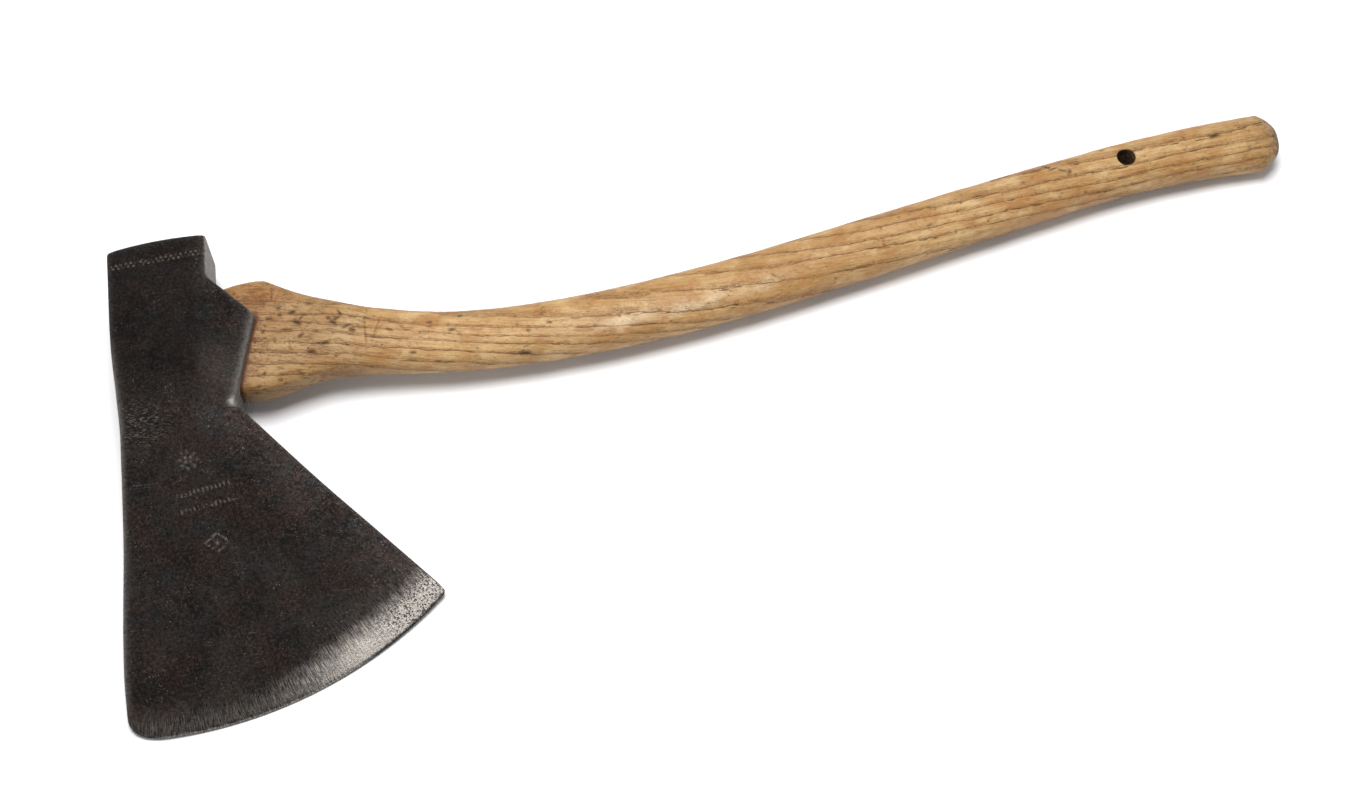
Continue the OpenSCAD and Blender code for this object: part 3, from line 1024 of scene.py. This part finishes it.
def end_grain(name):
    """End of the wooden wedge, darkened by oil and dirt."""
    s = Shader(name)
    place = s.attribute("flat_mm", "Vector")
    rings = s.noise(s.stretch(place, (0.3, 0.35, 2.2)), 1.0, 3)
    pores = s.noise(place, 0.7, 2)
    colour = s.mix(s.span(rings, 0.35, 0.65), srgb(150, 112, 72), srgb(110, 78, 46))
    colour = s.mix(s.span(pores, 0.55, 0.68, 0.0, 0.8), colour, srgb(50, 34, 22))
    normal = s.bump(pores, 0.0002, 0.8)
    return s.finish(colour, 0.7, 0.0, normal, 0.3)


def rusty_iron(name):
    """Rusted and hammered iron of the small wedge."""
    s = Shader(name)
    place = s.attribute("flat_mm", "Vector")
    crust = s.noise(place, 1.6, 5, 0.7)
    patch = s.noise(place, 5, 3)
    colour = s.mix(s.span(crust, 0.4, 0.62), srgb(62, 48, 42), srgb(112, 66, 42))
    colour = s.mix(s.span(patch, 0.5, 0.65, 0.0, 0.7), colour, srgb(86, 82, 80))
    normal = s.bump(crust, 0.0003, 0.9)
    return s.finish(colour, s.span(crust, 0.3, 0.7, 0.5, 0.75), 0.4, normal)


# Wear, polish and painted light and shade of the head --------

# Gain of the painted shading of the skin, and strength of the bare rims; on the toe side the bare rim is a
# painted highlight as well
SKIN_SHADE = 0.86
LUG_WEAR = 0.45
RIM_WEAR = 0.15
TOE_RIM_GLINT = 0.35


def head_polish_and_sheen(plan):
    """Bright steel: the ground bevel, with a painted reflection that is brightest at the heel and fades in
    across it, a painted highlight on the bare edge at the toe, a painted dark line just inside the edge,
    and a painted sheen on the side of the lug.
    """
    x, y = plan.T
    off_edge = EDGE_R - edge_radius(plan)
    angle = edge_angle(plan)
    # painted reflection: the ground steel of the bevel grows brighter from the toe to the heel and fades in
    # across its width, as the light falls
    heel_side = np.interp(angle, (-90, -75, -70, -65, -60, -54), (0.15, 0.18, 0.34, 0.62, 0.92, 1.0))
    toward_edge = 0.12 * fade(off_edge, 46, 24) + 0.88 * fade(off_edge, 24, 4)
    # painted highlight on the thin bare edge on the toe side
    bare_edge_glint = 0.5 * fade(off_edge, 1.3, 0.3) * fade(angle, -58, -64)
    # painted sheen on the side of the lug, where the light falls on the dished surface
    lug_side_sheen = 0.13 * np.exp(-((x - 32) / 15) ** 2 - ((y + 22) / 26) ** 2)
    # within two millimetres of the edge the bevel is darkened into a painted dark line, the shade of the
    # edge's rim
    return toward_edge * heel_side * (0.1 + 0.9 * fade(off_edge, 0.7, 2.0)) + bare_edge_glint + lug_side_sheen


def head_wear_and_glint(plan, z):
    """Bare metal: on the rims of the toe side and the lug, in the notch and beside the poll. The toe-side
    rim also carries a painted highlight, and the poll's side wall a painted reflection.
    """
    x, y = plan.T
    distance, rim = to_outline(plan)
    near_rim = np.exp(-np.clip(distance - 0.3, 0, None) / (0.5 * rim + 0.2))
    lug = (x > 36) & (y < 12) & (y > -46)
    down_wall = fade(plain_half(plan) - np.abs(z), rim, 2.5 * rim)
    # painted highlight along the toe-side rim, where it catches the light
    toe_rim = fade(x, -18, -24) * fade(y, 10, -20)
    by_toe = TOE_RIM_GLINT * toe_rim
    strength = np.where(lug, LUG_WEAR, RIM_WEAR + by_toe - (0.8 * RIM_WEAR + by_toe) * down_wall)
    at_notch = np.exp(-((x - 38) ** 2 + (y + 42.5) ** 2) / 5)
    # the poll's side wall is paler: partly bare hammered metal, partly a painted reflection of the light on
    # that wall
    haft_side = fade(x, HALF_W - 2.2, HALF_W - 1.0) * fade(y, LUG_TOP[1], LUG_TOP[1] + 3)
    poll_wall = 0.85 * fade(distance, 1.2, 0.1) * haft_side
    wear_and_glint = np.clip(np.maximum(near_rim * strength + at_notch, poll_wall), 0, 1)
    return wear_and_glint * fade(EDGE_R - edge_radius(plan), 4, 30)


def head_shade(plan):
    """Painted light and shade of the skin: darker over the eye, paler by the lug and along the side from
    the notch to the heel.
    """
    x, y = plan.T
    run = np.subtract(HEEL, NOTCH)
    from_side = ((x - NOTCH[0]) * run[1] - (y - NOTCH[1]) * run[0]) / math.hypot(*run)
    by_lug = fade(x, 14, 30) * fade(y, -48, -36)
    over_eye = fade(y, -50, -12) * fade(x, 30, 14)
    flare = fade(from_side, 30, 5) * fade(y, -36, -50)
    # painted shade over the eye and painted sheen by the lug and along the notch side, as gains on the
    # skin's colour
    return SKIN_SHADE + 0.16 * by_lug - 0.30 * over_eye + flare


def head_fields(piece):
    """Where the head is polished and bare, where it is marked, and its painted light and shade, for its
    materials.
    """
    flat = corners(piece)
    plan = flat[:, :2]
    radius, angle = edge_radius(plan), edge_angle(plan)
    marks = np.maximum(punched(plan, STAMPS), punched(plan, WELD_MARKS))
    scuff = np.exp(-((plan[:, 0] + 12) / 13) ** 2 - ((plan[:, 1] + 50) / 12) ** 2)
    store(piece, "polish_and_sheen", head_polish_and_sheen(plan))
    store(piece, "wear_and_glint", head_wear_and_glint(plan, flat[:, 2]))
    store(piece, "shade", head_shade(plan))
    store(piece, "mark", np.where(flat[:, 2] > 0, 0.6 * marks, 0))
    store(piece, "scuff", scuff)
    store(piece, "pitted", fade(angle, -62, -50) * fade(radius, EDGE_R - 22, EDGE_R - 12))
    store(piece, "radial", np.column_stack([radius, np.radians(angle) * EDGE_R, flat[:, 2]]))


# Grain, dirt and painted light and shade of the haft --------


def grain_rise(x):
    """How far the grain has risen at x: it dips under the grip and climbs to both ends."""
    t = (np.clip(x, 100, 430) - 300) / 100
    before = np.clip(100 - x, 0, None) / 100
    beyond = np.clip(x - 430, 0, None) / 100
    return -3.4 * t + 5.4 * t ** 2 + 14 * before + 11 * beyond


def lug_reach(y):
    """How far the lug covers the haft at height y."""
    lug = [NOTCH, LUG_TIP, LUG_TOP]
    return np.interp(y, [p[1] for p in lug], [p[0] for p in lug])


def haft_dirt_and_shade(piece, x, y, up, low, beside_lug):
    """Stains, soiling with a little painted shade towards the lower side, the soil that fills the dents, a
    darker hanging hole, and a painted shadow in the joint at the lug.
    """
    butt = fade(x, HAFT_X - 16, HAFT_X - 3)
    stain = 0.95 * np.exp(-beside_lug / 1.8) + 0.35 * np.exp(-beside_lug / 7)
    stain += 0.3 * butt + 0.4 * fade(x, 40, 30)
    store(piece, "stain", np.clip(stain, 0, 1))
    shoulder = fade(x, 150, 70)
    # darker towards the lower side: partly grime, partly painted shade
    lower_side = fade(y, (up + low) / 2, low)
    end = fade(x, HAFT_X - 45, HAFT_X - 5)
    store(piece, "grime_and_shade", np.clip(0.30 + 0.65 * shoulder + 0.08 * lower_side + 0.4 * end, 0, 1))
    # darker inside the hanging hole
    hole = np.hypot(x - HANG_X, y - hang_middle())
    in_hole = fade(hole, HANG_D / 2 + 0.5, HANG_D / 2)
    # painted shadow: a dark line in the joint where the lug meets the haft
    shadow_at_lug = 0.9 * np.exp(-(beside_lug / 1.1) ** 2)
    groove_dirt_and_shade = np.maximum(np.maximum(in_hole, shadow_at_lug), dented(corners(piece)))
    store(piece, "groove_dirt_and_shade", np.clip(groove_dirt_and_shade, 0, 1))


def haft_fields(piece):
    """Grain, stains, soiling, painted shade and a painted highlight along a ridge of the haft, for its
    material.
    """
    x, y, z = corners(piece).T
    on_grip = np.clip(x, GRIP[0][0], HAFT_X)
    up, low = smooth(GRIP, on_grip, 1), smooth(GRIP, on_grip, 2)
    risen = y - grain_rise(x)
    across = risen + GRAIN_TURN * z
    store(piece, "grain", np.column_stack([x, across, z - GRAIN_TURN * risen]))
    store(piece, "ring", np.interp(across, RINGS, range(len(RINGS))))
    upper_grip = fade(x, 110, 150) * fade(x, 330, 280) * fade(y - (up + low) / 2, -5, 1)
    store(piece, "lined", 1 - 0.6 * upper_grip)
    store(piece, "tint", np.exp(-((x - 54) / 10) ** 2 - ((y - 24) / 9) ** 2))
    # painted highlight along the ridge of the lower facet, partly wear
    ridge = np.exp(-((y - low - 10) / 3.4) ** 2) * fade(x, 210, 250) * fade(x, 380, 320)
    store(piece, "worn_and_highlight", np.where(z > 0, ridge, 0))
    store(piece, "end_face", fade(x, HAFT_X - 5, HAFT_X - 1.5))
    haft_dirt_and_shade(piece, x, y, up, low, np.clip(x - lug_reach(y), 0, None))


# Building the pieces --------


def eye_cutter():
    """The eye, a little larger than the tongue, flared where it opens."""
    sides = 96
    grow = 2 * EYE_GAP
    sections = []
    for x, more in ((-HALF_W - 6, 3.0), (-HALF_W - 0.2, 1.2), (-HALF_W + 1.2, 0.2), (-HALF_W + 3, 0.0),
                    (60.0, 0.0)):
        half = EYE_D / 2 + EYE_GAP + more
        sections.append((x, oval(half, -half, EYE_T + grow + 2 * more, 5, sides)))
    return swept("eye_cutter", sections)


def dress(piece, node, material):
    """Puts a finished piece in the place of its CAD node."""
    piece.data.materials.clear()
    piece.data.materials.append(material)
    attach(piece, "root")
    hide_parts(node)


def build_head():
    """The forged body, the ground bit and the poll facing."""
    body_loop, bit_loop, poll_loop = head_loops()
    grid = face_points(step=1.15, fine_step=0.42)
    body = slab("forged_body", body_loop, grid, 16)
    bit = slab("ground_bit", bit_loop, grid, 4)
    poll = slab("poll_facing", poll_loop, grid, 16)
    cutter = eye_cutter()
    outward(cutter)
    outward(body)
    carve(body, cutter)
    jobs = ((body, "head_body", "forged_iron", 0.9), (bit, "steel_bit", "edge_steel", 0.8),
            (poll, "poll_plate", "poll_steel", 1.0))
    for piece, node, slot, warmth in jobs:
        outward(piece)
        head_fields(piece)
        to_rest(piece, 50)
        dress(piece, node, head_metal(slot, warmth))


def build_haft():
    """The haft with its kerf and its hanging hole."""
    haft = swept("curved_haft", haft_sections())
    weather(haft)
    outward(haft)
    kerf = wedge_solid("kerf", WOOD_WEDGE_L, WOOD_WEDGE_T + 2 * WEDGE_GAP, WOOD_POINT_T, EYE_D + 4,
                       False, 2)
    for cutter in (kerf, cross_kerf(), hang_hole_cutter()):
        outward(cutter)
        carve(haft, cutter)
    haft_fields(haft)
    to_rest(haft, 45)
    dress(haft, "haft", ash_wood("ash_haft"))


def build_wedges():
    """The wooden wedge in the kerf and the iron wedge across it."""
    wood = wedge_solid("wood_wedge", WOOD_WEDGE_L, WOOD_WEDGE_T, WOOD_POINT_T, EYE_D - 1.2, False, 0.4)
    slot = cross_kerf()
    outward(wood)
    outward(slot)
    carve(wood, slot)
    iron = wedge_solid("cross_wedge", IRON_WEDGE_L, IRON_WEDGE_T, IRON_POINT_T, IRON_WEDGE_W, True, 0.5)
    outward(iron)
    to_rest(wood, 40)
    to_rest(iron, 40)
    dress(wood, "wooden_wedge", end_grain("wedge_wood"))
    dress(iron, "iron_wedge", rusty_iron("wedge_iron"))


# Studio --------


def floor():
    """Plain pale floor under the axe."""
    ground = new_piece("floor", [(-6, -6, 0), (6, -6, 0), (6, 6, 0), (-6, 6, 0)], [(0, 1, 2, 3)])
    paper = Shader("floor_paper").finish((0.86, 0.86, 0.865, 1), 0.9, 0.0, None, 0.1)
    ground.data.materials.append(paper)


def surround():
    """Even pale walls: bright at the horizon and dim overhead."""
    world = bpy.data.worlds.new("surround")
    world.use_nodes = True
    nodes, links = world.node_tree.nodes, world.node_tree.links
    place = nodes.new("ShaderNodeTexCoord")
    split = nodes.new("ShaderNodeSeparateXYZ")
    height = nodes.new("ShaderNodeMapRange")
    ends = {"From Min": 0.1, "From Max": 0.8, "To Min": WALL_LIGHT, "To Max": CEILING_LIGHT}
    for socket, value in ends.items():
        height.inputs[socket].default_value = value
    links.new(place.outputs["Generated"], split.inputs[0])
    links.new(split.outputs["Z"], height.inputs["Value"])
    links.new(height.outputs[0], nodes["Background"].inputs["Strength"])
    nodes["Background"].inputs["Color"].default_value = (0.97, 0.985, 1.0, 1)
    bpy.context.scene.world = world


def aimed(name, data, place, aim):
    """Puts a lamp or a camera at a place, aimed at a point."""
    thing = bpy.data.objects.new(name, data)
    thing.location = place
    thing.rotation_euler = (Vector(aim) - Vector(place)).to_track_quat("-Z", "Y").to_euler()
    bpy.context.scene.collection.objects.link(thing)
    return thing


def studio():
    """One large soft box overhead, a little behind the axe, between pale walls."""
    surround()
    box = bpy.data.lights.new("key", "AREA")
    box.shape = "SQUARE"
    box.size = KEY_SIZE
    box.energy = KEY_POWER
    aimed("key", box, KEY_PLACE, (0, 0, 0))
    bpy.context.scene.view_settings.view_transform = "Standard"


def camera():
    """The camera, at the angle of the picture."""
    data = bpy.data.cameras.new("camera")
    data.lens = CAMERA_LENS
    data.clip_end = 50
    around = math.radians(CAMERA_AZIMUTH)
    height = math.radians(CAMERA_ELEVATION)
    back = Vector((math.sin(around) * math.cos(height), -math.cos(around) * math.cos(height),
                   math.sin(height)))
    eye = aimed("camera", data, Vector(AIM) + back * CAMERA_DISTANCE, AIM)
    bpy.context.scene.camera = eye


camera()
floor()
studio()
build_head()
build_haft()
build_wedges()
